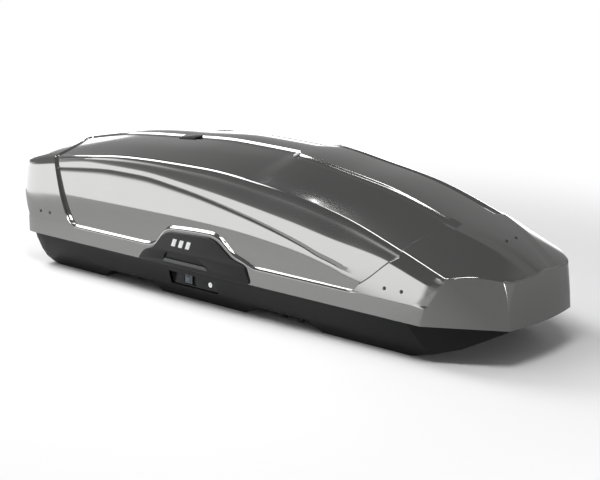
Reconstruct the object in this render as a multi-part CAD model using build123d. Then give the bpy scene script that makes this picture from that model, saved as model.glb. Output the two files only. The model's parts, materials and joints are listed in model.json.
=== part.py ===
from build123d import *
import math
import os

# Roof cargo box, lid closed.  +X nose, +Y left side, +Z up, millimetres.
# The origin is under the middle of the box, on the plane of the base pods.

# ---- driving dimensions -------------------------------------------------
NOSE_X = 945.0
REAR_X = -945.0
HALF_WIDTH = 305.0          # lid rim at the middle of the box
TAPER = 0.0355              # the rim narrows this much per millimetre towards the nose
SEAM_Z = 115.0              # lower edge of the lid
RIM_TOP_Z = 166.0
LEDGE_IN = 5.0              # step from the rim in to the side panel
LID_FLARE = 214.0           # how far the nose facets run forward as they rise
TRAY_FLARE = 336.0
LID_WALL = 3.0
TRAY_WALL = 3.0
TRAY_INSET = 14.0           # tray wall behind the outer face of the lid rim
TRAY_TOP_Z = 130.0
CHANNEL_Z = 33.0            # underside of the two crossbar channels
CHANNEL_CENTRES = {"rear": -453.0, "front": 192.0}
CHANNEL_HALF = {"rear": 96.0, "front": 100.0}

AXIS_INSET = 24.0           # hinge axis behind the outer face of the lid rim
AXIS_Z = 118.0
TAPER_DEG = math.degrees(math.atan(TAPER))
PIN_R = 3.0                 # hinge, latch and claw pins
FIT = 0.05                  # radial play of a pin in its bore
GAP = 0.4                   # play round a sliding or set-in piece
LATCH_STROKE = 18.0
EYE_THICK = 12.0
EYE_R = 5.4
LATCH_X = (-600.0, -20.0, 440.0)
ARM_X = {("left", "front"): 590.0, ("right", "front"): 627.0,
         ("left", "rear"): -812.0, ("right", "rear"): -775.0}

CLAMP_Y = 212.0
CLAMP_TRAVEL = 20.0
CLAMP_HALF = 64.0           # half length of a clamp's sliding plate
SLOT_HALF = CLAMP_HALF + CLAMP_TRAVEL + 4
FLOOR_TOP = CHANNEL_Z + TRAY_WALL
BEAM_THICK = 2.0
BEAM_STANDOFF = 4.5         # bonding strips between the lid and its beams
RAIL_THICK = 2.0
RAIL_FLANGE = 7.0
PAD_THICK = 3.0
RAIL_HALF = 27.0
RAIL_TOP = FLOOR_TOP + RAIL_THICK
BOLT_X = (-715.0, -150.0, 470.0)

LOCK_X = (-264.0, -60.0)
LOCK_Z = (46.0, 90.0)
LOCK_FACE = -16.0           # lock face behind the hinge axis line
SLIDER_X = -197.0
CYLINDER_X = -100.0
LOCK_MID_Z = 68.0

SHOULDER_LINE = ((-960, 350), (-840, 379), (-646, 410), (-450, 430), (-300, 435), (-127, 436),
                 (150, 415), (284, 397), (435, 366), (634, 306), (778, 259), (960, 205))
SHOULDER_Y = ((-960, 317), (-840, 310), (-646, 299.5), (-450, 288), (-300, 281), (-127, 272.5),
              (100, 264), (284, 258.5), (460, 254.5), (700, 256), (960, 260))
# the side leans in more above each of these two lines than below it
LOWER_TURN = ((-960, 260), (-730, 272), (-225, 274), (-26, 271), (244, 250), (400, 222),
              (460, 205), (580, 194), (960, 186))
UPPER_TURN = ((-960, 333), (-800, 361), (-606, 388), (-401, 391), (-117, 371), (235, 328),
              (400, 301), (568, 274), (730, 230), (960, 208))
LEAN_SHARE = (0.030, 0.125, 0.26)
RIDGE_LINE = ((-960, 394), (-632, 453), (-420, 471), (-161, 487), (85, 484),
              (308, 457), (481, 429), (716, 360), (840, 312), (960, 240))
RIDGE_Y = ((-960, 66), (100, 70), (700, 84), (820, 62), (960, 30))
SIDE_RIVETS = ((596, 199), (654, 200), (-848, 196), (-802, 196))
ROOF_RIVET_X = 821.0
RIVET_R = 5.0
PLATE_OUTLINE = ((-372, 122), (-345, 154), (-300, 168), (-258, 212), (-232, 226), (-60, 236),
                 (-30, 228), (30, 186), (85, 172), (104, 122))
CLAW_PIVOT = (22.0, 54.0)
LID_STATIONS = (-952, -935, -905, -860, -740, -600, -440, -250, -60, 130, 320,
                500, 640, 760, 860, 955)


def curve(points, x):
    """Smooth value at x of a line through a few (x, value) points."""
    xs = [p[0] for p in points]
    i = max(k for k in range(len(xs) - 1) if xs[k] <= x or k == 0)
    slope = [(points[k + 1][1] - points[k][1]) / (xs[k + 1] - xs[k]) for k in range(len(xs) - 1)]
    at = [slope[0]] + [(a + b) / 2 for a, b in zip(slope, slope[1:])] + [slope[-1]]
    h = xs[i + 1] - xs[i]
    s = (x - xs[i]) / h
    return ((1 + 2 * s) * (1 - s) ** 2 * points[i][1] + s * (1 - s) ** 2 * h * at[i]
            + s * s * (3 - 2 * s) * points[i + 1][1] + s * s * (s - 1) * h * at[i + 1])


def rear_round(x):
    """How far the rounded rear corners draw the sides in."""
    start, reach, depth = -860.0, 96.0, 26.0
    if x > start:
        return 0.0
    return depth * (1 - math.sqrt(1 - ((start - x) / reach) ** 2))


def half_width(x):
    return HALF_WIDTH - TAPER * x - rear_round(x)


def mirrored_polygon(half):
    return half + [(-y, z) for y, z in reversed(half) if abs(y) > 0.01]


def section(x, half):
    """Closed YZ outline at station x from its right-hand half, bottom to top."""
    points = [(x, y, z) for y, z in mirrored_polygon(half)]
    return Face(Wire.make_polygon([Vector(*p) for p in points], close=True))


def lid_half(x, t):
    w = half_width(x)
    draw = rear_round(x)
    shoulder_z = curve(SHOULDER_LINE, x)
    shoulder_y = curve(SHOULDER_Y, x) - draw
    foot_y, foot_z = w - LEDGE_IN, RIM_TOP_Z + 8
    lower_z = max(curve(LOWER_TURN, x), foot_z + 8)
    upper_z = min(max(curve(UPPER_TURN, x), lower_z + 16), shoulder_z - 8)
    rises = (lower_z - foot_z, upper_z - lower_z, shoulder_z - upper_z)
    lean = (foot_y - shoulder_y) / sum(a * b for a, b in zip(LEAN_SHARE, rises))
    lower_y = foot_y - lean * LEAN_SHARE[0] * rises[0]
    upper_y = lower_y - lean * LEAN_SHARE[1] * rises[1]
    ridge_z = curve(RIDGE_LINE, x)
    ridge_y = curve(RIDGE_Y, x)
    middle_y = (shoulder_y + ridge_y) / 2
    middle_z = (shoulder_z + ridge_z) / 2 + 3
    return [(w - t, SEAM_Z - (60 if t else 0)),
            (w - t, RIM_TOP_Z),
            (foot_y - t, foot_z),
            (lower_y - t, lower_z),
            (upper_y - t, upper_z),
            (shoulder_y - t, shoulder_z - t / 2),
            (middle_y, middle_z - t),
            (ridge_y, ridge_z - t),
            (0.0, ridge_z + 4 - t)]


def plan_outline(z, t=0.0, flare=LID_FLARE):
    """Nose outline: a bowed centre face and a facet on each side, leaning with height."""
    rise = (z - SEAM_Z) / 385.0
    edge_x = NOSE_X - 16 - 29 * rise - t
    side_x = 524 + flare * rise - t * 1.6
    return Face(Wire([
        Line((-1100, -400, z), (side_x, -400, z)),
        Line((side_x, -400, z), (edge_x, -152, z)),
        ThreePointArc((edge_x, -152, z), (edge_x + 16, 0, z), (edge_x, 152, z)),
        Line((edge_x, 152, z), (side_x, 400, z)),
        Line((side_x, 400, z), (-1100, 400, z)),
        Line((-1100, 400, z), (-1100, -400, z))]))


def rear_profile(t=0.0):
    """Side view of the lid's bulging tail wall, as a wide prism open to the front."""
    points = [(-916 + t, 0), (-916 + t, 172), (REAR_X + t, 258), (REAR_X + t, 336),
              (-926 + t, 384), (-870 + t, 560), (1100, 560), (1100, 0)]
    face = Face(Wire.make_polygon([Vector(x, -450, z) for x, z in points], close=True))
    return extrude(face, 900, dir=(0, 1, 0))


def lid_volume(t=0.0):
    body = loft([section(x, lid_half(x, t)) for x in LID_STATIONS])
    nose = loft([plan_outline(SEAM_Z - 100, t), plan_outline(SEAM_Z + 385, t)], ruled=True)
    return body & nose & rear_profile(t)


def block(x0, x1, y0, y1, z0, z1):
    return Pos((x0 + x1) / 2, (y0 + y1) / 2, (z0 + z1) / 2) * Box(x1 - x0, y1 - y0, z1 - z0)


def rod_x(x0, x1, y, z, r):
    return Pos((x0 + x1) / 2, y, z) * Rot(0, 90, 0) * Cylinder(r, x1 - x0)


def rod_y(x, y0, y1, z, r):
    return Pos(x, (y0 + y1) / 2, z) * Rot(90, 0, 0) * Cylinder(r, y1 - y0)


def rod_z(x, y, z0, z1, r):
    return Pos(x, y, (z0 + z1) / 2) * Cylinder(r, z1 - z0)


def edge_place():
    """Frame of the left hinge axis: X along the tapered edge, Y outwards."""
    return Pos(0, HALF_WIDTH - AXIS_INSET, AXIS_Z) * Rot(0, 0, -TAPER_DEG)


def on_side(shape, side):
    """Place a shape drawn in the left edge frame on the left or the right side."""
    placed = edge_place() * shape
    return placed if side == "left" else mirror(placed, Plane.XZ)


def prism_xz(points, y0, y1):
    face = Face(Wire.make_polygon([Vector(x, y0, z) for x, z in points], close=True))
    return extrude(face, y1 - y0, dir=(0, 1, 0))


# ---- base tray ----------------------------------------------------------
def tray_half(x, t):
    w = half_width(x) - TRAY_INSET - t
    return [(w - 58, -20 if t == 0 else TRAY_WALL), (w - 38, 12 + t / 2), (w - 18, 50),
            (w, 112), (w, 200 if t else TRAY_TOP_Z)]


def channel_spans():
    """From x to x of the flat floor of each crossbar channel, rear then front."""
    return [(CHANNEL_CENTRES[end] - CHANNEL_HALF[end], CHANNEL_CENTRES[end] + CHANNEL_HALF[end])
            for end in ("rear", "front")]


def tray_profile(t):
    c = CHANNEL_Z + t
    (rear_from, rear_to), (front_from, front_to) = channel_spans()
    return [(-902 + t, 300), (-898 + t, 92), (-880 + t, 26), (-850 + t, 5 + t / 2), (-833 + t, t),
            (-602 - t / 2, t), (rear_from - t / 2, c), (rear_to + t / 2, c),
            (-329 + t / 2, t), (26 - t / 2, t), (front_from - t / 2, c),
            (front_to + t / 2, c), (332 + t / 2, t), (650, t), (810 - t, 50 + t / 2),
            (912 - t, 104 + t / 2), (918 - t, 300)]


def tray_volume(t=0.0):
    sides = loft([section(x, tray_half(x, t)) for x in (-940, -905, -860, -850, 0, 955)], ruled=True)
    profile = prism_xz(tray_profile(t), -400, 400)
    nose = extrude(plan_outline(-50, TRAY_INSET + t, TRAY_FLARE), 400, dir=(0, 0, 1))
    return sides & profile & nose


def clamp_places():
    for end, x in CHANNEL_CENTRES.items():
        for side, y in (("left", CLAMP_Y), ("right", -CLAMP_Y)):
            yield f"{end}_{side}", x, y


def slot_cut(x, y, z0, z1, half_y):
    return block(x - SLOT_HALF, x + SLOT_HALF, y - half_y, y + half_y, z0, z1)


def edge_notches():
    """Gaps in the tray's upper wall that the hinge arms swing down into."""
    cuts = []
    for side in ("left", "right"):
        for x in LATCH_X:
            cuts.append(on_side(block(x + 21, x + 39, 2, 16, 0, 40), side))
    return cuts


def whole_tray():
    tray = tray_volume() - tray_volume(TRAY_WALL)
    for _, x, y in clamp_places():
        tray -= slot_cut(x, y, CHANNEL_Z - 5, CHANNEL_Z + 10, 12)
    for y in (-CLAMP_Y, CLAMP_Y):
        for x in BOLT_X:
            post = rod_z(x, y, 2, FLOOR_TOP, 12) - rod_z(x, y, 12, FLOOR_TOP + 1, PIN_R + FIT)
            tray += post
    for side in ("left", "right"):
        pocket = block(LOCK_X[0], LOCK_X[1], -45, 40, LOCK_Z[0] - AXIS_Z, LOCK_Z[1] - AXIS_Z)
        tray -= on_side(pocket, side)
    for cut in edge_notches():
        tray -= cut
    return tray


def tray_lengths():
    """The one-piece tray in five lengths, cut where the crossbar channels begin and end."""
    tray = whole_tray()
    (rear_from, rear_to), (front_from, front_to) = channel_spans()
    names = ("tray_tail", "tray_rear_channel", "tray_middle", "tray_front_channel", "tray_nose")
    cuts = (REAR_X, rear_from, rear_to, front_from, front_to, NOSE_X)
    return {name: tray & block(x0, x1, -400, 400, -10, 200)
            for name, x0, x1 in zip(names, cuts, cuts[1:])}


def base_rail(side):
    y = CLAMP_Y if side == "left" else -CLAMP_Y
    x0, x1 = -760.0, 520.0
    rail = block(x0, x1, y - RAIL_HALF, y + RAIL_HALF, FLOOR_TOP, RAIL_TOP)
    for s in (-1, 1):
        edge = y + s * (RAIL_HALF - RAIL_THICK / 2)
        rail += block(x0, x1, edge - RAIL_THICK / 2, edge + RAIL_THICK / 2, FLOOR_TOP, RAIL_TOP + RAIL_FLANGE)
    for x in CHANNEL_CENTRES.values():
        rail -= slot_cut(x, y, FLOOR_TOP - 1, RAIL_TOP + 1, 12)
    for x in BOLT_X:
        rail -= rod_z(x, y, FLOOR_TOP - 1, RAIL_TOP + 1, PIN_R + FIT)
    return rail


def rail_bolts():
    bolts = []
    for y in (-CLAMP_Y, CLAMP_Y):
        for x in BOLT_X:
            head = Pos(x, y, RAIL_TOP) * extrude(RegularPolygon(6, 6), 4.5)
            bolts.append(head + rod_z(x, y, 16, RAIL_TOP, PIN_R))
    return Compound(children=bolts)


def bar_pads():
    """Rubber seats on the underside of the channels, one round each claw slot."""
    pads = []
    for _, x, y in clamp_places():
        pad = block(x - 94, x + 94, y - 26, y + 26, CHANNEL_Z - PAD_THICK, CHANNEL_Z)
        pads.append(pad - slot_cut(x, y, CHANNEL_Z - PAD_THICK - 1, CHANNEL_Z + 1, 13))
    return Compound(children=pads)


# ---- locks and latches --------------------------------------------------
def lock_z(z):
    return z - AXIS_Z


def lock_housing(side):
    x0, x1 = LOCK_X[0] + GAP, LOCK_X[1] - GAP
    body = block(x0, x1, LOCK_FACE - 24, LOCK_FACE, lock_z(LOCK_Z[0] + GAP), lock_z(LOCK_Z[1] - GAP))
    slot = block(SLIDER_X - 16, SLIDER_X + 16 + LATCH_STROKE, LOCK_FACE - 8, LOCK_FACE + 1,
                 lock_z(LOCK_MID_Z - 15), lock_z(LOCK_MID_Z + 15))
    bore = rod_y(CYLINDER_X, LOCK_FACE - 18, LOCK_FACE + 1, lock_z(LOCK_MID_Z), 8 + FIT)
    return on_side(body - slot - bore, side)


def lock_bezel(side):
    outer = block(LOCK_X[0] + GAP, LOCK_X[1] - GAP, LOCK_FACE, -3,
                  lock_z(LOCK_Z[0] + GAP), lock_z(LOCK_Z[1] - GAP))
    inner = block(LOCK_X[0] + 5, LOCK_X[1] - 5, LOCK_FACE - 1, 0,
                  lock_z(LOCK_Z[0] + 5), lock_z(LOCK_Z[1] - 5))
    lean = prism_yz([(-8, lock_z(100)), (-18, lock_z(40)), (60, lock_z(40)), (60, lock_z(100))])
    return on_side(outer - inner - lean, side)


def prism_yz(points):
    face = Face(Wire.make_polygon([Vector(-500, y, z) for y, z in points], close=True))
    return extrude(face, 1000, dir=(1, 0, 0))


def lock_slider(side):
    body = block(SLIDER_X - 15, SLIDER_X + 15, LOCK_FACE - 7, LOCK_FACE - 1,
                 lock_z(LOCK_MID_Z - 14), lock_z(LOCK_MID_Z + 14))
    thumb = block(SLIDER_X - 9, SLIDER_X + 9, LOCK_FACE - 1, LOCK_FACE + 3,
                  lock_z(LOCK_MID_Z - 11), lock_z(LOCK_MID_Z + 11))
    return on_side(body + thumb, side)


def lock_cylinder(side):
    barrel = rod_y(CYLINDER_X, LOCK_FACE - 17, LOCK_FACE + 1.5, lock_z(LOCK_MID_Z), 8)
    keyway = block(CYLINDER_X - 0.8, CYLINDER_X + 0.8, LOCK_FACE - 8, LOCK_FACE + 2,
                   lock_z(LOCK_MID_Z - 4), lock_z(LOCK_MID_Z + 4))
    return on_side(barrel - keyway, side)


def latch_bar(side):
    """Sliding bar with three hinge pins on the axis; it is drawn withdrawn from the eyes."""
    bar = block(LATCH_X[0] - 8, LATCH_X[-1] + 4, -16, -12, -24, -14)
    for x in LATCH_X:
        bar += block(x - 8, x, -16, 3, -14.5, 3)
        bar += rod_x(x - 8, x + 22, 0, 0, PIN_R)
    return on_side(bar, side)


def latch_guides(side):
    """Plates on the tray wall that carry the latch pins next to the hinge eyes."""
    guides = []
    for x in LATCH_X:
        plate = block(x + 19, x + 23.5, -10, 6.5, -6, 6) + block(x + 19, x + 23.5, -10, 2, -20, -6)
        plate -= rod_x(x + 18, x + 24, 0, 0, PIN_R + FIT)
        guides.append(on_side(plate, side))
    return Compound(children=guides)


def hinge_eyes(side):
    """Goose-neck arms on the lid rim that reach over the tray wall to the hinge axis."""
    eyes = []
    for x in LATCH_X:
        x0 = x + 24
        ring = rod_x(x0, x0 + EYE_THICK, 0, 0, EYE_R)
        leg = block(x0, x0 + EYE_THICK, -EYE_R, 3, 0, 30)
        foot = block(x0, x0 + EYE_THICK, -EYE_R, AXIS_INSET - LID_WALL - 0.2, 18, 30)
        eyes.append(on_side(ring + leg + foot - rod_x(x0 - 1, x0 + 20, 0, 0, PIN_R + FIT), side))
    return Compound(children=eyes)


# ---- lid lifters --------------------------------------------------------
def lift_spindles(side):
    parts = []
    for end in ("front", "rear"):
        x = ARM_X[(side, end)]
        bracket = rod_x(x - 26, x + 26, 0, 0, PIN_R) + block(x - 26, x + 26, -10, 1, -20, -14)
        for x0 in (x - 26, x + 20):
            bracket += block(x0, x0 + 6, -10, 2, -20, 4) + block(x0, x0 + 6, -10, 6.2, -5, 4)
        parts.append(on_side(bracket, side))
    return Compound(children=parts)


def lift_springs(side):
    springs = []
    for end in ("front", "rear"):
        x = ARM_X[(side, end)]
        path = Helix(pitch=2.2, height=11, radius=4.4)
        wire = sweep(Plane(path @ 0, z_dir=path % 0) * Circle(0.7), path=path, is_frenet=True)
        springs.append(on_side(Pos(x + 7, 0, 0) * Rot(0, 90, 0) * wire, side))
    return Compound(children=springs)


def lift_arm(side, end):
    """Flat arm from its own hinge axis to the far edge of the box, with a roller end."""
    x = ARM_X[(side, end)]
    reach = 2 * (half_width(x) - AXIS_INSET) - 34
    hub = rod_x(x - 4, x + 4, 0, 0, EYE_R)
    blade = block(x - 4, x + 4, -reach, -2, -4, 5)
    tip = rod_x(x - 4, x + 4, -reach, 0.5, 8)
    return on_side(hub + blade + tip - rod_x(x - 5, x + 5, 0, 0, PIN_R + FIT), side)


# ---- lid ----------------------------------------------------------------
def rivet_pins():
    side, roof = [], []
    for x, z in SIDE_RIVETS:
        y = half_width(x) - 8
        for s in (-1, 1):
            side.append(rod_y(x, s * y - RIVET_R, s * y + RIVET_R, z, RIVET_R))
    for y in (-23, 23):
        top = curve(RIDGE_LINE, ROOF_RIVET_X) + 3.5
        roof.append(rod_z(ROOF_RIVET_X, y, top - 6, top + 1.5, RIVET_R))
    return side, roof


def lid_shell(outer, inner):
    shell = outer - inner
    side, roof = rivet_pins()
    for pin in side + roof:
        shell -= pin
    return shell


def lid_beam(x0, x1):
    """Pressed rib that follows the inside of the lid from side to side."""
    depth = LID_WALL + BEAM_STANDOFF
    rib = (lid_volume(depth) - lid_volume(depth + BEAM_THICK)) & block(x0, x1, -400, 400, 182, 600)
    for pin in rivet_pins()[0]:
        rib -= pin
    return rib


def handle_plate(outer, side):
    plate = prism_edge(PLATE_OUTLINE, 4, AXIS_INSET + 10)
    grip = prism_edge(((-262, 131), (-250, 157), (-108, 160), (-62, 131)), AXIS_INSET + 1, 80)
    placed = on_side(plate - grip, side) - outer
    return max(placed.solids(), key=lambda solid: solid.volume)


def prism_edge(points, y0, y1):
    return prism_xz([(x, z - AXIS_Z) for x, z in points], y0, y1)


# ---- crossbar clamps ----------------------------------------------------
def clamp_carriage(x, y):
    plate = block(x - CLAMP_HALF, x + CLAMP_HALF, y - 23, y + 23, RAIL_TOP + GAP, RAIL_TOP + 4)
    plate -= block(x - CLAMP_HALF + 4, x + CLAMP_HALF - 4, y - 7.6, y + 7.6, 0, 60)
    for s in (-1, 1):
        cheek_y = y + s * 10
        plate += block(x - 34, x + 34, cheek_y - 2.2, cheek_y + 2.2, RAIL_TOP + 3, 68)
    plate += block(x - 34, x + 34, y - 12.2, y + 12.2, 66, 71)
    plate -= rod_z(x, y, 60, 80, 5 + GAP)
    for s in (-1, 1):
        plate += rod_y(x + s * CLAW_PIVOT[0], y - 12, y + 12, CLAW_PIVOT[1], PIN_R)
    return plate


def clamp_claw(x, y, s):
    """Hooked jaw that swings under the crossbar; s is its side of the clamp."""
    px, pz = CLAW_PIVOT
    outline = [(px - 5, pz), (px + 12, pz + 2), (47, 38), (49, 17), (40, 6), (28, 5),
               (25, 12), (37, 15), (40, 22), (38, 34), (px - 1, 45)]
    jaw = prism_xz([(x + s * a, z) for a, z in outline], y - 7, y + 7)
    jaw += rod_y(x + s * px, y - 7, y + 7, pz, 8)
    return jaw - rod_y(x + s * px, y - 8, y + 8, pz, PIN_R + FIT)


def clamp_knob(x, y):
    knob = rod_z(x, y, 73, 97, 22)
    for k in range(6):
        a = math.radians(60 * k)
        knob += rod_z(x + 21 * math.cos(a), y + 21 * math.sin(a), 75, 95, 6)
    knob += rod_z(x, y, 97, 100, 14)
    return knob - rod_z(x, y, 70, 84, 5 + FIT)


def clamp_screw(x, y):
    return rod_z(x, y, 52, 84, 5)


def build():
    outer = lid_volume()
    inner = lid_volume(LID_WALL)
    side_rivets, roof_rivets = rivet_pins()
    parts = {
        **tray_lengths(),
        "rail_bolts": rail_bolts(),
        "bar_pads": bar_pads(),
        "lid_shell": lid_shell(outer, inner),
        "side_rivets": Compound(children=side_rivets),
        "roof_rivets": Compound(children=roof_rivets),
        "lid_beam_front": lid_beam(575, 675),
        "lid_beam_rear": lid_beam(-865, -785),
    }
    for side in ("left", "right"):
        parts[f"base_rail_{side}"] = base_rail(side)
        parts[f"lock_housing_{side}"] = lock_housing(side)
        parts[f"lock_bezel_{side}"] = lock_bezel(side)
        parts[f"lock_slider_{side}"] = lock_slider(side)
        parts[f"lock_cylinder_{side}"] = lock_cylinder(side)
        parts[f"latch_bar_{side}"] = latch_bar(side)
        parts[f"latch_guides_{side}"] = latch_guides(side)
        parts[f"hinge_eyes_{side}"] = hinge_eyes(side)
        parts[f"lift_spindles_{side}"] = lift_spindles(side)
        parts[f"lift_springs_{side}"] = lift_springs(side)
        parts[f"handle_plate_{side}"] = handle_plate(outer, side)
        for end in ("front", "rear"):
            parts[f"lift_arm_{side}_{end}"] = lift_arm(side, end)
    for name, x, y in clamp_places():
        parts[f"clamp_carriage_{name}"] = clamp_carriage(x, y)
        parts[f"clamp_knob_{name}"] = clamp_knob(x, y)
        parts[f"clamp_screw_{name}"] = clamp_screw(x, y)
        parts[f"claw_fore_{name}"] = clamp_claw(x, y, 1)
        parts[f"claw_aft_{name}"] = clamp_claw(x, y, -1)
    return parts


os.makedirs("parts", exist_ok=True)
for name, shape in build().items():
    export_step(shape, f"parts/{name}.step")
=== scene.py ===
import json
import math
from collections import namedtuple
import bmesh
import bpy
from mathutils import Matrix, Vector


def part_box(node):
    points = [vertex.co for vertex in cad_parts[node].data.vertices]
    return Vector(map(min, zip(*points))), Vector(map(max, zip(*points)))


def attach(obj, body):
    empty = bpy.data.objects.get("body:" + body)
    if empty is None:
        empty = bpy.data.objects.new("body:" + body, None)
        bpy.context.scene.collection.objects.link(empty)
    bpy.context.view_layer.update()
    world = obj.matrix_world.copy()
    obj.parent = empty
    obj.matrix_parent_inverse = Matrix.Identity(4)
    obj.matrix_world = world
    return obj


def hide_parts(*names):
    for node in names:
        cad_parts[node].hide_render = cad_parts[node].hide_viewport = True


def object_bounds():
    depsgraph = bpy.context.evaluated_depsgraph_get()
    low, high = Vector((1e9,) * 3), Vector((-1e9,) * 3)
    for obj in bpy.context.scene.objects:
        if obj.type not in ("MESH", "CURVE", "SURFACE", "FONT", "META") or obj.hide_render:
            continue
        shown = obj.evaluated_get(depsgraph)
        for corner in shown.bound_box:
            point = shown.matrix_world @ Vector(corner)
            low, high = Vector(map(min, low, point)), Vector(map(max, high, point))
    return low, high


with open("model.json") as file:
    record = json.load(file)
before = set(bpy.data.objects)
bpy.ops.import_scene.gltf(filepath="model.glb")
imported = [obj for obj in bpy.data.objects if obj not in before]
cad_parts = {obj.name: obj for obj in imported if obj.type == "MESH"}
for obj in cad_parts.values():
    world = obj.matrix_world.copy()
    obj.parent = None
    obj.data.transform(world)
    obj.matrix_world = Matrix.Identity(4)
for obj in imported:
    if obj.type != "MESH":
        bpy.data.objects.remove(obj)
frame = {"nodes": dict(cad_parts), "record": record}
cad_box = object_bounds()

# Roof cargo box: glossy grey lid over a black tray, metres, +X nose, +Y left, +Z up.

NODES = frame["nodes"]
NODE_SLOTS = {part["node"]: part["material_slot"] for part in frame["record"]["subparts"]}
NOSE_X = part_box("lid_shell")[1].x
SEAM_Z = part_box("lid_shell")[0].z
RIM_TOP_Z = SEAM_Z + .051
LEDGE_DROP = .008            # height of the sloped ledge between rim and panel
LEDGE_IN = .005
HALF_WIDTH = .305
TAPER = .0355
SKIN_THICK = .003
NOSE_EDGE_Y = .152           # upright edge between the centre face and a facet of the nose
NOSE_LEAN = .029
NOSE_BOW = .016
NOSE_FLARE = .214            # how far the nose facets run forward as they rise
GROOVE_DEPTH = .006
PANEL_RECESS = .003
CHANNEL_WIDTH = .036
CHANNEL_DEPTH = .006
CHANNEL_FALL = .0035         # how much lower the channel's outer edge lies
CROWN_RISE = .0042

# (x, value) guides along the lid, each joined by a smooth line
SHOULDER_Z = ((-.96, .350), (-.84, .379), (-.646, .410), (-.45, .430), (-.30, .435), (-.127, .436),
              (.15, .415), (.284, .397), (.435, .366), (.634, .306), (.778, .259), (.96, .205))
SHOULDER_Y = ((-.96, .317), (-.84, .310), (-.646, .2995), (-.45, .288), (-.30, .281), (-.127, .2725),
              (.10, .264), (.284, .2585), (.46, .2545), (.70, .256), (.96, .260))
UPPER_Z = ((-.96, .333), (-.80, .361), (-.606, .388), (-.401, .391), (-.117, .371),
           (.235, .328), (.40, .301), (.568, .277), (.73, .233), (.96, .175))
CREASE_Z = ((-.96, .325), (-.762, .352), (-.50, .377), (-.423, .379), (-.20, .361), (.031, .325),
            (.286, .268), (.398, .229), (.47, .206), (.96, .178))
LOWER_Z = ((-.96, .258), (-.73, .272), (-.225, .274), (-.026, .271), (.244, .250), (.40, .222),
           (.46, .205), (.58, .188), (.96, .178))
RIDGE_Z = ((-.96, .394), (-.632, .453), (-.42, .471), (-.161, .487), (.085, .484),
           (.308, .457), (.481, .429), (.716, .360), (.84, .312), (.96, .240))
RIDGE_Y = ((-.96, .055), (.086, .055), (.106, .083), (.70, .085), (.78, .070), (.84, .055), (.96, .030))
TAIL_X = ((.000, -.916), (.166, -.916), (.174, -.914), (.200, -.926), (.258, -.941),
          (.300, -.945), (.340, -.944), (.384, -.926), (.560, -.870))
PAD_TOP_Z = ((-.345, .166), (-.318, .170), (-.300, .176), (-.260, .222), (-.235, .234), (-.060, .243),
             (-.028, .236), (.034, .193), (.080, .178), (.110, .166))
# x of the rear groove and of the cap seam: by height on the side, by share of the roof above it
GROOVE_SIDE = ((.166, -.676), (.184, -.702), (.216, -.722), (.280, -.748), (.344, -.772), (.392, -.786))
GROOVE_ROOF = ((0.0, -.786), (.25, -.792), (.6, -.818), (1.0, -.884))
CAP_SIDE = ((.166, .470), (.178, .494), (.313, .632))
CAP_ROOF = ((0.0, .632), (.3, .648), (1.0, .714))
SIDE_RIVETS = ((.596, .199), (.654, .200), (-.848, .196), (-.802, .196))   # (x, z), on both sides
ROOF_RIVET_X = .821
ROOF_RIVET_Y = .023
BRIDGE_X = (-.420, -.345)    # plate across each roof channel
BRIDGE_ACROSS = (0.0, .034)
HIGHLIGHT_TAB_X = (.094, .104)         # pale tab at the jog of each roof channel: a painted highlight where the channel turns
HIGHLIGHT_TAB_ACROSS = (.006, .030)
ROOF_PLATE_LIFT = .0012


def smooth_line(points, x):
    """Value at x of a smooth line through (x, value) points, without overshoot."""
    if x <= points[0][0]:
        return points[0][1]
    if x >= points[-1][0]:
        return points[-1][1]
    k = max(i for i in range(len(points) - 1) if points[i][0] <= x)
    slopes = [(b[1] - a[1]) / (b[0] - a[0]) for a, b in zip(points, points[1:])]
    ends = [slopes[0]] + [0 if a * b <= 0 else 2 * a * b / (a + b) for a, b in zip(slopes, slopes[1:])]
    ends.append(slopes[-1])
    h = points[k + 1][0] - points[k][0]
    s = (x - points[k][0]) / h
    return ((1 + 2 * s) * (1 - s) ** 2 * points[k][1] + s * (1 - s) ** 2 * h * ends[k]
            + s * s * (3 - 2 * s) * points[k + 1][1] + s * s * (s - 1) * h * ends[k + 1])


def lerp(a, b, t):
    return a + (b - a) * t


def ease(t):
    t = min(1.0, max(0.0, t))
    return t * t * (3 - 2 * t)


def soft_ramp(u, soft):
    """0 below, u above, rounded over plus and minus soft."""
    if u <= -soft:
        return 0.0
    if u >= soft:
        return u
    return (u + soft) ** 2 / (4 * soft)


def rear_round(x):
    """How far the rounded rear corners draw the sides in."""
    start, reach, depth = -.860, .096, .026
    if x > start:
        return 0.0
    return depth * (1 - math.sqrt(max(0.0, 1 - ((start - x) / reach) ** 2)))


def half_width(x):
    return HALF_WIDTH - TAPER * x - rear_round(x)


def nose_x(y, z):
    """Front outline: a bowed centre face and a flat facet on each side, leaning back with height."""
    rise = (z - SEAM_Z) / .385
    edge = NOSE_X - NOSE_BOW - NOSE_LEAN * rise
    side = .524 + NOSE_FLARE * rise
    y = abs(y)
    if y < NOSE_EDGE_Y:
        return edge + NOSE_BOW * (1 - (y / NOSE_EDGE_Y) ** 2)
    return lerp(edge, side, (y - NOSE_EDGE_Y) / (.400 - NOSE_EDGE_Y))


def tail_x(y, z):
    return smooth_line(TAIL_X, z)


# ---- lid skin: rows run along the box, from the rim's lower edge up to the centre line ----
def rows_of(zone, shares):
    return [(zone, share) for share in shares]


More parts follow.
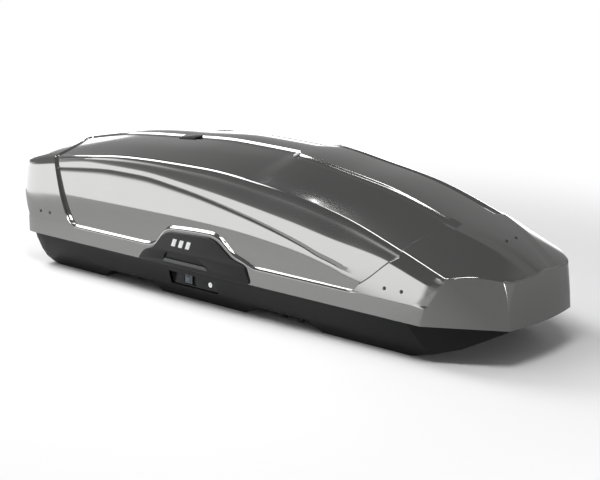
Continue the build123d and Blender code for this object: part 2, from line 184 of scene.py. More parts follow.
ROWS = (rows_of("rim", (0, .06, .5, .90)) + rows_of("lip", (0, .25, .5, .75, 1))
        + rows_of("ledge", (.5, 1)) + rows_of("low", (.06, .15, .35, .55, .75, .9))
        + rows_of("turn", (-1, -.33, .33, 1)) + rows_of("mid", (.35, .7))
        + rows_of("crease", (-1, -.5, 0, .5, 1)) + rows_of("high", (.2, .5, .8))
        + rows_of("bend", (-1, -.33, .33, 1)) + rows_of("band", (.25, .5, .75))
        + rows_of("shoulder", (0, .2, .4, .6, .8, 1))
        + rows_of("roof", (.05, .12, .22, .33, .44, .54, .64, .74, .84, .93))
        + rows_of("channel", (0, .07, .16, .24, .5, .76, .84, .93, 1))
        + rows_of("crown", (.15, .4, .7, 1)))
SHOULDER_ROW = ROWS.index(("shoulder", .4))
EDGE_ROW = ROWS.index(("roof", .54))
TURN_SOFT = .004
LEAN_STEPS = (.030, .095, .135)     # lean of the side below the lower turn, and what each turn adds
# the strip in front of the light patch of the cap, which turns towards the nose corner
STRIP_FROM_X = .6
STRIP_WIDTH = .016
STRIP_WIDENS = .16
STRIP_TURN = .16
CREASE_HALF = .0017
CREASE_DEPTH = .0007
SHOULDER_R = .009
LIP_R = .0036
Heights = namedtuple("Heights", "rim foot lower crease upper shoulder")


def heights(x):
    """Guide heights of the side: rim top, panel foot, lower turn, crease, upper bend, shoulder."""
    shoulder = smooth_line(SHOULDER_Z, x)
    rim = max(RIM_TOP_Z, smooth_line(PAD_TOP_Z, x))
    foot = rim + LEDGE_DROP
    lower = max(smooth_line(LOWER_Z, x), foot + .012)
    upper = min(max(smooth_line(UPPER_Z, x), lower + .032), shoulder - .022)
    crease = min(max(smooth_line(CREASE_Z, x), lower + .014), upper - .014)
    return Heights(rim, foot, lower, crease, upper, shoulder)


def lean_run(z, foot, lower, upper):
    """How far a side leaning one more step in at each turn has come in from foot to height z."""
    return (LEAN_STEPS[0] * (z - foot) + LEAN_STEPS[1] * soft_ramp(z - lower, TURN_SOFT)
            + LEAN_STEPS[2] * soft_ramp(z - upper, TURN_SOFT))


def side_y(x, z):
    """Half width of the side panel's skin at height z, before any recess."""
    at = heights(x)
    base = half_width(x) - LEDGE_IN
    target = smooth_line(SHOULDER_Y, x) - rear_round(x)
    foot = RIM_TOP_Z + LEDGE_DROP
    inward = (base - target) * lean_run(z, foot, at.lower, at.upper)
    return base - inward / lean_run(at.shoulder, foot, at.lower, at.upper)


def flush_y(x, z):
    """Half width where the skin runs on from the rim without a ledge: rear pillar and nose cap."""
    at = heights(x)
    lower = at.rim if x > 0 else at.lower
    w = half_width(x)
    inward = (w - smooth_line(SHOULDER_Y, x) + rear_round(x)) * lean_run(z, at.rim, lower, at.upper)
    inward /= lean_run(at.shoulder, at.rim, lower, at.upper)
    if x > STRIP_FROM_X:
        corner = nose_x(w - inward, z)
        strip = STRIP_WIDTH + STRIP_WIDENS * max(0.0, z - RIM_TOP_Z)
        inward += STRIP_TURN * soft_ramp(x - corner + strip, .002) * ease((z - at.rim) / .01)
    return w - inward


def row_height(x, zone, share):
    """Height of a row of the side at x."""
    at = heights(x)
    spans = {"rim": (SEAM_Z, at.rim),
             "lip": (at.rim, at.rim),
             "ledge": (at.rim + .003, at.foot),
             "low": (at.foot, at.lower - TURN_SOFT),
             "turn": (at.lower, at.lower + TURN_SOFT),
             "mid": (at.lower + TURN_SOFT, at.crease - CREASE_HALF),
             "crease": (at.crease, at.crease + CREASE_HALF),
             "high": (at.crease + CREASE_HALF, at.upper - TURN_SOFT),
             "bend": (at.upper, at.upper + TURN_SOFT),
             "band": (at.upper + TURN_SOFT, at.shoulder - SHOULDER_R),
             "shoulder": (at.shoulder, at.shoulder)}
    return lerp(*spans[zone], share)


def row_seams(zone, share):
    """x of the rear groove and of the cap seam on a row."""
    if zone in ("channel", "crown"):
        return GROOVE_ROOF[-1][1], CAP_ROOF[-1][1]
    if zone == "roof":
        return smooth_line(GROOVE_ROOF, share), smooth_line(CAP_ROOF, share)
    return (smooth_line(GROOVE_SIDE, row_height(-.75, zone, share)),
            smooth_line(CAP_SIDE, row_height(.56, zone, share)))


def row_inside(x, zone, share):
    """1 on the sunk panel between the rear groove and the cap seam, 0 outside it."""
    groove, cap = row_seams(zone, share)
    return ease((x - groove - .006) / .004) * ease((cap - x) / .003)


def rounded(a, corner, b, radius, t):
    """Point at share t of the curve that rounds the corner between a and b."""
    start = corner + (a - corner).normalized() * radius
    end = corner + (b - corner).normalized() * radius
    return start.lerp(corner, t).lerp(corner.lerp(end, t), t)


def skin_point(x, zone, share):
    """(y, z) of the lid's outer skin at x on one row, for the half with positive y."""
    at = heights(x)
    w = half_width(x)
    ridge = Vector((smooth_line(RIDGE_Y, x), smooth_line(RIDGE_Z, x)))
    gutter = ridge + Vector((CHANNEL_WIDTH, -CHANNEL_FALL))
    shoulder = Vector((side_y(x, at.shoulder), at.shoulder))
    fade = ease((x + .900) / .012) * ease((.712 - x) / .006)
    groove, cap = row_seams(zone, share)
    inside = row_inside(x, zone, share)
    cut = ease(1.5 - abs(x - groove) / .0042)
    seam = ease(1.3 - abs(x - cap - .001) / .0016)
    sunk = PANEL_RECESS * inside + GROOVE_DEPTH * cut + .0016 * seam
    if zone == "rim":
        return Vector((w, lerp(SEAM_Z, at.rim, share)))
    if zone == "lip":
        foot_y = lerp(flush_y(x, at.foot), side_y(x, at.foot), row_inside(x, "ledge", 1))
        return rounded(Vector((w, SEAM_Z)), Vector((w, at.rim)), Vector((foot_y, at.foot)), LIP_R, share)
    if zone == "ledge":
        z = row_height(x, zone, share)
        along = (z - at.rim) / (at.foot - at.rim)
        foot_y = lerp(flush_y(x, at.foot), side_y(x, at.foot), inside) - sunk
        return Vector((lerp(w, foot_y, along), z))
    if zone in ("low", "turn", "mid", "crease", "high", "bend", "band"):
        z = row_height(x, zone, share)
        if zone == "crease" and groove < x < cap:
            sunk += CREASE_DEPTH * (1 - abs(share)) * ease((.46 - x) / .05)
        return Vector((lerp(flush_y(x, z), side_y(x, z), inside) - sunk, z))
    if zone == "shoulder":
        below = Vector((side_y(x, at.shoulder - SHOULDER_R), at.shoulder - SHOULDER_R))
        return rounded(below, shoulder, gutter, SHOULDER_R, share) - Vector((.6, .8)) * sunk
    if zone == "roof":
        p = shoulder.lerp(gutter, share)
        p.y += .006 * math.sin(math.pi * share) - sunk
        return p
    if zone == "channel":
        down = CHANNEL_DEPTH * fade * ease(share / .24) * ease((1 - share) / .24)
        p = gutter.lerp(ridge, share if fade == 0 else lerp(share, ease(share), .3))
        p.y -= down + PANEL_RECESS * inside * (1 - ease(share / .76))
        return p
    return Vector((ridge.x * (1 - share), ridge.y + CROWN_RISE * (1 - (1 - share) ** 2)))


def row_end(zone, share, low, high, outline):
    """x where a row meets the tail or the nose outline, found by halving."""
    for _ in range(36):
        mid = (low + high) / 2
        p = skin_point(mid, zone, share)
        if mid > outline(p.x, p.y):
            high = mid
        else:
            low = mid
    return (low + high) / 2


COLUMN_COUNTS = (12, 10, 58, 8, 16)
EDGE_R = .0024


def row_stations(zone, share):
    """x of every column of a row, bunched at the rear groove and the cap seam."""
    groove, cap = row_seams(zone, share)
    knots = (row_end(zone, share, -.99, -.80, tail_x), groove - .0085, groove + .0125,
             cap - .0055, cap + .0045, row_end(zone, share, .50, 1.0, nose_x))
    stations = [knots[0]]
    for a, b, count in zip(knots, knots[1:], COLUMN_COUNTS):
        stations += [lerp(a, b, k / count) for k in range(1, count + 1)]
    return stations


def skin_rows():
    """Points of the right half's skin, row by row, each from tail to nose."""
    rows = []
    for zone, share in ROWS:
        points = []
        for x in row_stations(zone, share):
            p = skin_point(x, zone, share)
            points.append(Vector((x, -p.x, p.y)))
        rows.append(points)
    return rows


def wall_rows(upright, top, right_y, outline):
    """Rows of points that fill an end wall from an upright edge across to y = right_y."""
    floor_z, roof_z = upright[0].z, upright[-1].z
    rows = []
    for p in upright:
        share = (p.z - floor_z) / (roof_z - floor_z)
        row = [p]
        for k, q in enumerate(top[1:], 1):
            across = lerp(k / (len(top) - 1), (q.y - top[0].y) / (top[-1].y - top[0].y), share ** 4)
            y = lerp(lerp(p.y, right_y, across), q.y, share ** 3)
            z = p.z + (q.z - roof_z) * share ** 3
            row.append(Vector((outline(y, z), y, z)))
        rows.append(row)
    rows[-1] = list(top)
    return rows


class Skin:
    """Collects the faces of both halves, welding points that coincide."""

    def __init__(self):
        self.points, self.faces, self.index = [], [], {}

    def vertex(self, p):
        key = (round(p.x, 5), round(p.y, 5), round(p.z, 5))
        if key not in self.index:
            self.index[key] = len(self.points)
            self.points.append(p)
        return self.index[key]

    def add_patch(self, rows):
        for side in (1, -1):
            grid = [[self.vertex(Vector((p.x, p.y * side, p.z))) for p in row] for row in rows]
            for a, b in zip(grid, grid[1:]):
                for k in range(len(a) - 1):
                    ring = [a[k], a[k + 1], b[k + 1], b[k]]
                    ring = [v for n, v in enumerate(ring) if v not in ring[:n]]
                    if len(ring) > 2:
                        self.faces.append(ring[::side])

    def lines(self, points):
        """Vertex pairs along a run of points, on both sides."""
        pairs = set()
        for side in (1, -1):
            run = [self.vertex(Vector((p.x, p.y * side, p.z))) for p in points]
            pairs |= {frozenset(pair) for pair in zip(run, run[1:])}
        return pairs


def object_from(name, points, faces):
    mesh = bpy.data.meshes.new(name)
    mesh.from_pydata(points, [], faces)
    mesh.update()
    obj = bpy.data.objects.new(name, mesh)
    bpy.context.scene.collection.objects.link(obj)
    return obj


def bevel_pairs(obj, pairs, width, segments):
    """Rounds the edges that join the given vertex pairs."""
    bm = bmesh.new()
    bm.from_mesh(obj.data)
    bmesh.ops.recalc_face_normals(bm, faces=bm.faces)
    edges = [e for e in bm.edges if frozenset((e.verts[0].index, e.verts[1].index)) in pairs]
    bmesh.ops.bevel(bm, geom=edges, offset=width, segments=segments, profile=.5, affect="EDGES",
                    clamp_overlap=False)
    bm.to_mesh(obj.data)
    bm.free()


def face_outward(obj):
    """Welds points that coincide and turns every face outward."""
    bm = bmesh.new()
    bm.from_mesh(obj.data)
    bmesh.ops.remove_doubles(bm, verts=bm.verts, dist=1e-6)
    bmesh.ops.recalc_face_normals(bm, faces=bm.faces)
    bm.to_mesh(obj.data)
    bm.free()


def only(obj):
    bpy.ops.object.select_all(action="DESELECT")
    obj.select_set(True)
    bpy.context.view_layer.objects.active = obj


def smooth(obj, degrees=32):
    only(obj)
    bpy.ops.object.shade_smooth_by_angle(angle=math.radians(degrees))


def build_lid_skin():
    rows = skin_rows()
    skin = Skin()
    skin.add_patch(rows)
    nose = [row[-1] for row in rows]
    tail = [row[0] for row in rows]
    upright, brow = nose[:SHOULDER_ROW + 1], nose[SHOULDER_ROW:EDGE_ROW + 1]
    facet = wall_rows(upright, brow, -NOSE_EDGE_Y, nose_x)
    centre = wall_rows([row[-1] for row in facet], nose[EDGE_ROW:], 0.0, nose_x)
    back = wall_rows(tail[:SHOULDER_ROW + 1], tail[SHOULDER_ROW:], 0.0, tail_x)
    for patch in (facet, centre, back):
        skin.add_patch(patch)
    edges = skin.lines(nose) | skin.lines([row[-1] for row in facet]) | skin.lines(tail)
    lid = object_from("lid_skin_panel", skin.points, skin.faces)
    bevel_pairs(lid, edges, EDGE_R, 3)
    if max(lid.data.polygons, key=lambda face: face.center.z).normal.z < 0:
        lid.data.flip_normals()
    finish(lid, PAINT, LINER)
    wall = lid.modifiers.new("wall", "SOLIDIFY")
    wall.thickness = SKIN_THICK
    wall.offset = -1
    wall.material_offset = 1
    only(lid)
    bpy.ops.object.modifier_apply(modifier="wall")
    smooth(lid, 28)
    return lid


# ---- pieces cut from the frame: copies of CAD nodes with worked edges ----
def copy_of(nodes, name, joins=()):
    """One welded mesh copied from CAD nodes, open at every x of joins, with flat faces merged."""
    bm = bmesh.new()
    for node in nodes:
        bm.from_mesh(NODES[node].data)
    ends = [f for f in bm.faces if any(all(abs(v.co.x - x) < 1e-4 for v in f.verts) for x in joins)]
    bmesh.ops.delete(bm, geom=ends, context="FACES")
    bmesh.ops.remove_doubles(bm, verts=bm.verts, dist=2e-5)
    bmesh.ops.dissolve_limit(bm, angle_limit=math.radians(2.0), verts=bm.verts, edges=bm.edges)
    mesh = bpy.data.meshes.new(name)
    bm.to_mesh(mesh)
    bm.free()
    obj = bpy.data.objects.new(name, mesh)
    bpy.context.scene.collection.objects.link(obj)
    return obj


def round_edges(obj, width, segments=3, degrees=25):
    bevel = obj.modifiers.new("edges", "BEVEL")
    bevel.width = width
    bevel.segments = segments
    bevel.limit_method = "ANGLE"
    bevel.angle_limit = math.radians(degrees)
    bevel.harden_normals = False
    only(obj)
    bpy.ops.object.modifier_apply(modifier="edges")
    smooth(obj)


# ---- materials ----
def new_group(name, inputs, outputs):
    group = bpy.data.node_groups.new(name, "ShaderNodeTree")
    for label, kind, value in inputs:
        socket = group.interface.new_socket(label, in_out="INPUT", socket_type="NodeSocket" + kind)
        socket.default_value = value
    for label, kind in outputs:
        group.interface.new_socket(label, in_out="OUTPUT", socket_type="NodeSocket" + kind)
    return group, group.nodes.new("NodeGroupInput"), group.nodes.new("NodeGroupOutput")


def fine_grain_group():
    """Moulded surface: a fine pebble grain and a slow cloudiness, from object coordinates."""
    group, given, result = new_group("fine_grain",
                                     [("Grain Scale", "Float", 900.0), ("Cloud Scale", "Float", 6.0)],
                                     [("Height", "Float"), ("Cloud", "Float"), ("Speck", "Float")])
    nodes, link = group.nodes, group.links.new
    place = nodes.new("ShaderNodeTexCoord")
    grain = nodes.new("ShaderNodeTexNoise")
    grain.inputs["Detail"].default_value = 3.0
    cloud = nodes.new("ShaderNodeTexNoise")
    cloud.inputs["Detail"].default_value = 4.0
    speck = nodes.new("ShaderNodeTexVoronoi")
    for texture, source in ((grain, "Grain Scale"), (cloud, "Cloud Scale"), (speck, "Grain Scale")):
        link(place.outputs["Object"], texture.inputs["Vector"])
        link(given.outputs[source], texture.inputs["Scale"])
    link(grain.outputs["Fac"], result.inputs["Height"])
    link(cloud.outputs["Fac"], result.inputs["Cloud"])
    link(speck.outputs["Color"], result.inputs["Speck"])
    return group


def dust_group():
    """Mask of thin dust on faces that look up, broken up by noise."""
    group, given, result = new_group("settled_dust", [("Amount", "Float", .3), ("Scale", "Float", 14.0)],
                                     [("Mask", "Float")])
    nodes, link = group.nodes, group.links.new
    place = nodes.new("ShaderNodeTexCoord")
    shape = nodes.new("ShaderNodeNewGeometry")
    split = nodes.new("ShaderNodeSeparateXYZ")
    noise = nodes.new("ShaderNodeTexNoise")
    noise.inputs["Detail"].default_value = 6.0
    up = nodes.new("ShaderNodeMapRange")
    up.inputs["From Min"].default_value = .2
    times = nodes.new("ShaderNodeMath")
    times.operation = "MULTIPLY"
    scale = nodes.new("ShaderNodeMath")
    scale.operation = "MULTIPLY"
    link(place.outputs["Object"], noise.inputs["Vector"])
    link(given.outputs["Scale"], noise.inputs["Scale"])
    link(shape.outputs["Normal"], split.inputs[0])
    link(split.outputs["Z"], up.inputs["Value"])
    link(up.outputs["Result"], times.inputs[0])
    link(noise.outputs["Fac"], times.inputs[1])
    link(times.outputs[0], scale.inputs[0])
    link(given.outputs["Amount"], scale.inputs[1])
    link(scale.outputs[0], result.inputs["Mask"])
    return group


FINE_GRAIN = fine_grain_group()
DUST = dust_group()


def shade(name, dark, light, rough, metallic=0.0, grain=900.0, cloud=6.0, bump=.02,
          coat=0.0, coat_rough=.05, speck=0.0, dust=0.0, ior=1.5):
    """A finish: two close tones mixed by cloudiness, grain in roughness and bump, thin dust on top."""
    material = bpy.data.materials.new(name)
    material.use_nodes = True
    nodes, link = material.node_tree.nodes, material.node_tree.links.new
    shader = nodes["Principled BSDF"]
    surface = nodes.new("ShaderNodeGroup")
    surface.node_tree = FINE_GRAIN
    surface.inputs["Grain Scale"].default_value = grain
    surface.inputs["Cloud Scale"].default_value = cloud
    tone = nodes.new("ShaderNodeMix")
    tone.data_type = "RGBA"
    tone.inputs["A"].default_value = (*dark, 1)
    tone.inputs["B"].default_value = (*light, 1)
    link(surface.outputs["Cloud"], tone.inputs["Factor"])
    flecks = nodes.new("ShaderNodeMix")
    flecks.data_type = "RGBA"
    flecks.blend_type = "OVERLAY"
    flecks.inputs["Factor"].default_value = speck
    link(tone.outputs["Result"], flecks.inputs["A"])
    link(surface.outputs["Speck"], flecks.inputs["B"])
    settled = nodes.new("ShaderNodeGroup")
    settled.node_tree = DUST
    settled.inputs["Amount"].default_value = dust
    powder = nodes.new("ShaderNodeMix")
    powder.data_type = "RGBA"
    powder.inputs["B"].default_value = (.45, .44, .42, 1)
    link(settled.outputs["Mask"], powder.inputs["Factor"])
    link(flecks.outputs["Result"], powder.inputs["A"])
    link(powder.outputs["Result"], shader.inputs["Base Color"])
    spread = nodes.new("ShaderNodeMapRange")
    spread.inputs["To Min"].default_value = rough * .85
    spread.inputs["To Max"].default_value = rough * 1.18
    link(surface.outputs["Cloud"], spread.inputs["Value"])
    link(spread.outputs["Result"], shader.inputs["Roughness"])
    relief = nodes.new("ShaderNodeBump")
    relief.inputs["Strength"].default_value = bump
    relief.inputs["Distance"].default_value = .0004
    link(surface.outputs["Height"], relief.inputs["Height"])
    link(relief.outputs["Normal"], shader.inputs["Normal"])
    shader.inputs["Metallic"].default_value = metallic
    shader.inputs["IOR"].default_value = ior
    shader.inputs["Coat Weight"].default_value = coat
    shader.inputs["Coat Roughness"].default_value = coat_rough
    return material


PAINT = shade("titan_grey_gloss", (.225, .225, .222), (.245, .245, .242), .10,
              metallic=.9, grain=2600, cloud=3, bump=.01, coat=.25, coat_rough=.03, speck=.05)
LINER = shade("lid_inner_face", (.10, .10, .10), (.14, .14, .14), .55, grain=700, bump=.12, dust=.1)
TRAY = shade("tray_black_grained", (.006, .006, .007), (.010, .010, .011), .42,
             grain=620, bump=.22, dust=.02, ior=1.28)
TRIM = shade("satin_black_trim", (.008, .008, .009), (.013, .013, .014), .36,
             grain=1100, bump=.10, dust=.02, ior=1.33)
SLIDER = shade("slider_blue_grey", (.085, .11, .13), (.11, .14, .16), .35, grain=1400, bump=.05)
RUBBER = shade("pad_rubber", (.014, .014, .014), (.024, .024, .024), .75, grain=500, bump=.3, dust=.15)
RIVET = shade("rivet_cap_black", (.006, .006, .006), (.012, .012, .012), .25, grain=1500, bump=.03, coat=.3)
CHROME = shade("key_barrel_chrome", (.78, .78, .79), (.86, .86, .87), .10, metallic=1, grain=1800, bump=.02)
CLAW = shade("claw_rubber_coat", (.012, .012, .013), (.022, .022, .022), .6, grain=420, bump=.25, dust=.08)
ZINC = shade("zinc_plate", (.42, .43, .44), (.56, .57, .58), .34, metallic=1, grain=300, cloud=45, bump=.06)
# pale colour: the printed bars on the handle plates, and a painted highlight on the roof channel tabs
PALE_PRINT_AND_HIGHLIGHT = shade("pale_print_and_painted_highlight", (.72, .72, .72), (.80, .80, .80), .4, grain=1200, bump=.02)
LIP = shade("grip_lip_grey", (.045, .046, .048), (.060, .061, .063), .4, grain=1000, bump=.08, dust=.05)
SLOT_FINISH = {"lid_skin": PAINT, "tray_plastic": TRAY, "black_trim": TRIM, "slider_plastic": SLIDER,
               "pad_rubber": RUBBER, "rivet_black": RIVET, "key_chrome": CHROME, "claw_coating": CLAW,
               "zinc_steel": ZINC}


def finish(obj, *materials):
    obj.data.materials.clear()
    for material in materials:
        obj.data.materials.append(material)


def finish_cad_nodes():
    """Every CAD node that stays gets the worked finish of its slot."""
    for name, obj in NODES.items():
        finish(obj, SLOT_FINISH[NODE_SLOTS[name]])


# ---- making ----
def make_lid():
    lid = build_lid_skin()
    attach(lid, "lid")
    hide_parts("lid_shell")


def make_tray():
    lengths = ("tray_tail", "tray_rear_channel", "tray_middle", "tray_front_channel", "tray_nose")
    tray = copy_of(lengths, "tray_moulding", [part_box(node)[0].x for node in lengths[1:]])
    round_edges(tray, .004, 3, 20)
    finish(tray, TRAY)
    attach(tray, "base")
    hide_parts(*lengths)


def soft_outline(corners, radius, steps=5):
    """Closed outline through (x, z) corners with each corner rounded."""
    outline = []
    for k, corner in enumerate(corners):
        before, at, after = Vector(corners[k - 1]), Vector(corner), Vector(corners[(k + 1) % len(corners)])
        reach = min(radius, (before - at).length * .45, (after - at).length * .45)
        outline += [rounded(before, at, after, reach, t / steps) for t in range(steps + 1)]
    return outline


def edge_plate(name, outlines, front, thick, bevel, side):
    """Plate with rounded edges on the rim plane of one side; rings of (x, z), holes after the first.

    front is how far its face stands out from the rim.
    """
    data = bpy.data.curves.new(name, "CURVE")
    data.dimensions = "2D"
    data.fill_mode = "BOTH"
    data.extrude = thick / 2 - bevel
    data.bevel_depth = bevel
    data.bevel_resolution = 2
    for ring in outlines:
        spline = data.splines.new("POLY")
        spline.points.add(len(ring) - 1)
        for point, (x, z) in zip(spline.points, ring):
            point.co = (x, z, 0, 1)
        spline.use_cyclic_u = True
    obj = bpy.data.objects.new(name, data)
    bpy.context.scene.collection.objects.link(obj)
    only(obj)
    bpy.ops.object.convert(target="MESH")
    plate = bpy.context.object
    mirror = -1 if side == "right" else 1
    for v in plate.data.vertices:
        x, z, out = v.co
        y = half_width(0) - TAPER * x + front - thick / 2 + out
        v.co = (x, y * mirror, z)
    face_outward(plate)
    smooth(plate)
    return plate


def joined(name, *objects):
    bpy.ops.object.select_all(action="DESELECT")
    for obj in objects:
        obj.select_set(True)
    bpy.context.view_layer.objects.active = objects[0]
    bpy.ops.object.join()
    objects[0].name = name
    return objects[0]


PLATE = ((-.372, .1165), (-.345, .148), (-.303, .163), (-.262, .208), (-.236, .222), (-.064, .232),
         (-.034, .224), (.026, .181), (.082, .168), (.101, .1165))
GRIP = ((-.262, .131), (-.250, .157), (-.225, .162), (-.130, .164), (-.108, .160), (-.062, .131))


def make_handle_plate(side):
    """Black cover round the grip, with the recess behind the grip, its lower lip and a plain mark."""
    cover = edge_plate("cover", (soft_outline(PLATE, .013), soft_outline(GRIP, .007)),
                       .0060, .0058, .0016, side)
    back = edge_plate("back", [((-.268, .1245), (-.268, .170), (-.054, .170), (-.054, .1245))],
                      .0010, .0008, .0002, side)
    plate = joined(f"handle_cover_{side}", cover, back)
    lip = edge_plate(f"grip_lip_{side}", [soft_outline(((-.256, .1285), (-.253, .1365), (-.080, .1365),
                                                        (-.068, .1285)), .002)], .0078, .0062, .0010, side)
    bars = []
    for k in range(3):
        x = -.222 + .030 * k
        ring = soft_outline(((x, .182), (x + .010, .206), (x + .026, .206), (x + .016, .182)), .002)
        bars.append(edge_plate("bar", [ring], .0066, .0010, .0002, side))
    mark = joined(f"plate_mark_{side}", *bars)
    for piece, material in ((plate, TRIM), (lip, LIP), (mark, PALE_PRINT_AND_HIGHLIGHT)):
        finish(piece, material)
        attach(piece, "lid")
        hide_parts(f"handle_plate_{side}")


def dome(name, place, normal, radius=.0055, height=.0024):
    """Domed rivet cap that sits on the skin at place."""
    rings = [(radius, -.002), (radius, .0006), (radius * .96, height * .5), (radius * .72, height * .86),
             (radius * .38, height)]
    points, faces, count = [], [], 20
    for r, z in rings:
        for k in range(count):
            turn = 2 * math.pi * k / count
            points.append(Vector((r * math.cos(turn), r * math.sin(turn), z)))
    for ring in range(len(rings) - 1):
        for k in range(count):
            a, b = ring * count + k, ring * count + (k + 1) % count
            faces.append([a, b, b + count, a + count])
    faces.append(list(range(len(points) - count, len(points))))
    faces.append(list(range(count))[::-1])
    turned = Vector(normal).to_track_quat("Z", "Y")
    obj = object_from(name, [turned @ q + Vector(place) for q in points], faces)
    smooth(obj, 50)
    return obj


def make_rivets():
    caps = []
    for x, z in SIDE_RIVETS:
        for sign in (-1, 1):
            caps.append(dome("cap", (x, sign * flush_y(x, z), z), (0, sign, .12)))
    side = joined("side_rivet_caps", *caps)
    caps = []
    ridge_share = ROOF_RIVET_Y / smooth_line(RIDGE_Y, ROOF_RIVET_X)
    z = smooth_line(RIDGE_Z, ROOF_RIVET_X) + CROWN_RISE * (1 - ridge_share ** 2)
    for y in (-ROOF_RIVET_Y, ROOF_RIVET_Y):
        caps.append(dome("cap", (ROOF_RIVET_X, y, z), (.42, 0, .9)))
    top = joined("roof_rivet_caps", *caps)
    for piece, node in ((side, "side_rivets"), (top, "roof_rivets")):
        finish(piece, RIVET)
        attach(piece, "lid")
        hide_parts(node)


def make_roof_plates():
    """Small bridge plates over the roof channels and a pale tab at each jog of the channel, its pale colour
    a painted highlight.
    """
    # the tabs take the pale colour as a painted highlight at each jog of the channel
    for name, span, across, material in (("channel_bridge", BRIDGE_X, BRIDGE_ACROSS, TRIM),
                                         ("channel_highlight_tab", HIGHLIGHT_TAB_X, HIGHLIGHT_TAB_ACROSS, PALE_PRINT_AND_HIGHLIGHT)):
        pieces = []
        for sign in (-1, 1):
            rows = []
            for x in span:
                y = smooth_line(RIDGE_Y, x)
                z = smooth_line(RIDGE_Z, x)
                rows.append([Vector((x, sign * (y + a), z + lift - CHANNEL_FALL * a / CHANNEL_WIDTH))
                             for a in across for lift in (-.004, ROOF_PLATE_LIFT)])
            points = rows[0] + rows[1]
            faces = [[0, 1, 3, 2], [4, 6, 7, 5], [0, 4, 5, 1], [2, 3, 7, 6], [1, 5, 7, 3], [0, 2, 6, 4]]
            plate = object_from("plate", points, faces)
            face_outward(plate)
            round_edges(plate, .0006, 2)
            pieces.append(plate)
        plates = joined(name + "s", *pieces)
        finish(plates, material)
        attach(plates, "lid")
        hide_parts("lid_shell")


WORKED_EDGES = {"lock_bezel": .0010, "lock_slider": .0014, "clamp_knob": .0030, "claw_fore": .0022,
                "claw_aft": .0022, "clamp_carriage": .0008, "lock_housing": .0010, "base_rail": .0005,
                "lift_arm": .0010, "bar_pads": .0010}


def make_worked_copies():
    """Copies of the smaller CAD pieces with their edges rounded."""
    bodies = frame["record"]["behaviour"]["bodies"]
    for body, nodes in bodies.items():
        for node in nodes:
            width = next((w for start, w in WORKED_EDGES.items() if node.startswith(start)), None)
            if width is None:
                continue
            piece = copy_of([node], node + "_worked")
            round_edges(piece, width, 2, 30)
            finish(piece, SLOT_FINISH[NODE_SLOTS[node]])
            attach(piece, body)
            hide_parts(node)


def build_camera():
    azimuth, elevation, distance = math.radians(42.10), math.radians(14.738), 4.6223
    aim = Vector((.0302, 0, .1826))
    back = Vector((math.sin(azimuth) * math.cos(elevation), -math.cos(azimuth) * math.cos(elevation),
                   math.sin(elevation)))
    data = bpy.data.cameras.new("camera")
    data.lens = 87.96
    data.sensor_width = 36.0
    camera = bpy.data.objects.new("camera", data)
    camera.location = aim + back * distance
    camera.rotation_euler = back.to_track_quat("Z", "Y").to_euler()
    bpy.context.scene.collection.objects.link(camera)
    bpy.context.scene.camera = camera


def build_floor():
    """A pale disc, paler still towards its edge, on the plane of the base pods. Towards its edge it glows.
    For rays other than the camera's, its glow and colour fade towards +X, a painted shade in the floor that
    the nose reflects.
    """
    bpy.ops.object.select_all(action="DESELECT")
    bpy.ops.mesh.primitive_circle_add(vertices=96, radius=2.3, fill_type="NGON",
                                      location=(0, 0, cad_box[0][2]))
    floor = bpy.context.object
    floor.name = "studio_floor"
    material = bpy.data.materials.new("studio_floor_pale")
    material.use_nodes = True
    nodes, link = material.node_tree.nodes, material.node_tree.links.new
    shader = nodes["Principled BSDF"]
    shader.inputs["Roughness"].default_value = .9
    shader.inputs["Specular IOR Level"].default_value = .1
    glow = nodes.new("ShaderNodeEmission")
    glow.inputs["Color"].default_value = (1, 1, 1, 1)
    blend = nodes.new("ShaderNodeMixShader")
    place = nodes.new("ShaderNodeTexCoord")
    length = nodes.new("ShaderNodeVectorMath")
    length.operation = "LENGTH"
    fade = nodes.new("ShaderNodeMapRange")
    fade.interpolation_type = "SMOOTHSTEP"
    fade.inputs["From Min"].default_value = .8
    fade.inputs["From Max"].default_value = 2.2
    link(place.outputs["Object"], length.inputs[0])
    link(length.outputs["Value"], fade.inputs["Value"])
    link(fade.outputs["Result"], blend.inputs[0])
    # painted shade: for every ray but the camera's, the floor's glow and colour fall from full at x = .35
    # to .45 at x = 1.1, so the nose facets reflect a darker floor
    split = nodes.new("ShaderNodeSeparateXYZ")
    dim = nodes.new("ShaderNodeMapRange")
    for socket, value in (("From Min", .35), ("From Max", 1.1), ("To Min", 1.0), ("To Max", .45)):
        dim.inputs[socket].default_value = value
    path = nodes.new("ShaderNodeLightPath")
    bright = nodes.new("ShaderNodeMath")
    bright.operation = "MAXIMUM"
    tone = nodes.new("ShaderNodeMath")
    tone.operation = "MULTIPLY"
    tone.inputs[1].default_value = .82
    link(place.outputs["Object"], split.inputs[0])
    link(split.outputs["X"], dim.inputs["Value"])
    link(dim.outputs["Result"], bright.inputs[0])
    link(path.outputs["Is Camera Ray"], bright.inputs[1])
    link(bright.outputs[0], glow.inputs["Strength"])
    link(bright.outputs[0], tone.inputs[0])
    link(tone.outputs[0], shader.inputs["Base Color"])
    link(shader.outputs[0], blend.inputs[1])
    link(glow.outputs[0], blend.inputs[2])
    link(blend.outputs[0], nodes["Material Output"].inputs["Surface"])
    finish(floor, material)


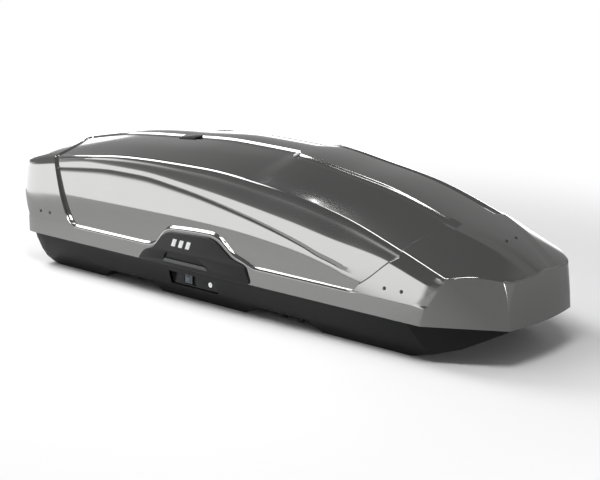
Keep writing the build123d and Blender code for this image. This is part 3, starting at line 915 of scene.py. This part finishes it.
def build_world():
    """Soft studio surroundings: bright low down behind the box, dim above, white to the eye."""
    world = bpy.data.worlds.new("studio")
    bpy.context.scene.world = world
    world.use_nodes = True
    nodes, link = world.node_tree.nodes, world.node_tree.links.new
    output = nodes["World Output"]
    place = nodes.new("ShaderNodeTexCoord")
    split = nodes.new("ShaderNodeSeparateXYZ")
    link(place.outputs["Generated"], split.inputs[0])
    height = nodes.new("ShaderNodeMapRange")
    height.interpolation_type = "SMOOTHSTEP"
    height.inputs["From Min"].default_value = .05
    height.inputs["From Max"].default_value = .15
    height.inputs["To Min"].default_value = 1.0
    height.inputs["To Max"].default_value = 0.0
    link(split.outputs["Z"], height.inputs["Value"])
    behind = nodes.new("ShaderNodeMapRange")
    behind.interpolation_type = "SMOOTHSTEP"
    behind.inputs["From Min"].default_value = -.28
    behind.inputs["From Max"].default_value = -.52
    behind.inputs["To Min"].default_value = .45
    behind.inputs["To Max"].default_value = 3.3
    link(split.outputs["X"], behind.inputs["Value"])
    low = nodes.new("ShaderNodeMath")
    low.operation = "MULTIPLY"
    link(height.outputs["Result"], low.inputs[0])
    link(behind.outputs["Result"], low.inputs[1])
    total = low
    for axis, near, far, least, most in (("X", -.48, -.80, .24, .44), ("Y", .52, .76, 0.0, .20)):
        lift = nodes.new("ShaderNodeMapRange")
        for socket, value in (("From Min", near), ("From Max", far), ("To Min", least), ("To Max", most)):
            lift.inputs[socket].default_value = value
        link(split.outputs[axis], lift.inputs["Value"])
        added = nodes.new("ShaderNodeMath")
        link(total.outputs[0], added.inputs[0])
        link(lift.outputs["Result"], added.inputs[1])
        total = added
    glow = nodes.new("ShaderNodeBackground")
    link(total.outputs[0], glow.inputs["Strength"])
    plain = nodes.new("ShaderNodeBackground")
    plain.inputs["Color"].default_value = (1, 1, 1, 1)
    path = nodes.new("ShaderNodeLightPath")
    choose = nodes.new("ShaderNodeMixShader")
    link(path.outputs["Is Camera Ray"], choose.inputs[0])
    link(glow.outputs[0], choose.inputs[1])
    link(plain.outputs[0], choose.inputs[2])
    link(choose.outputs[0], output.inputs["Surface"])


def area_light(name, place, aim, size, power):
    data = bpy.data.lights.new(name, "AREA")
    data.shape = "RECTANGLE"
    data.size, data.size_y = size
    data.energy = power
    light = bpy.data.objects.new(name, data)
    light.location = place
    light.rotation_euler = (Vector(place) - Vector(aim)).to_track_quat("Z", "Y").to_euler()
    bpy.context.scene.collection.objects.link(light)


bpy.context.scene.view_settings.view_transform = "Standard"
build_camera()
build_floor()
build_world()
area_light("rear_softbox", (-2.1, -.5, 2.3), (0, 0, .3), (1.4, 1.6), 70)
area_light("shoulder_strip", (-.1, -.72, 2.4), (.1, -.5, .3), (1.8, .24), 14)
area_light("top_softbox", (1.3, -1.2, 2.9), (.5, -.2, .3), (1.2, .9), 45)
area_light("nose_softbox", (3.0, -1.0, .35), (.9, -.15, .2), (.5, .7), 12)
finish_cad_nodes()
make_lid()
make_tray()
make_rivets()
make_roof_plates()
make_worked_copies()
for side in ("left", "right"):
    make_handle_plate(side)
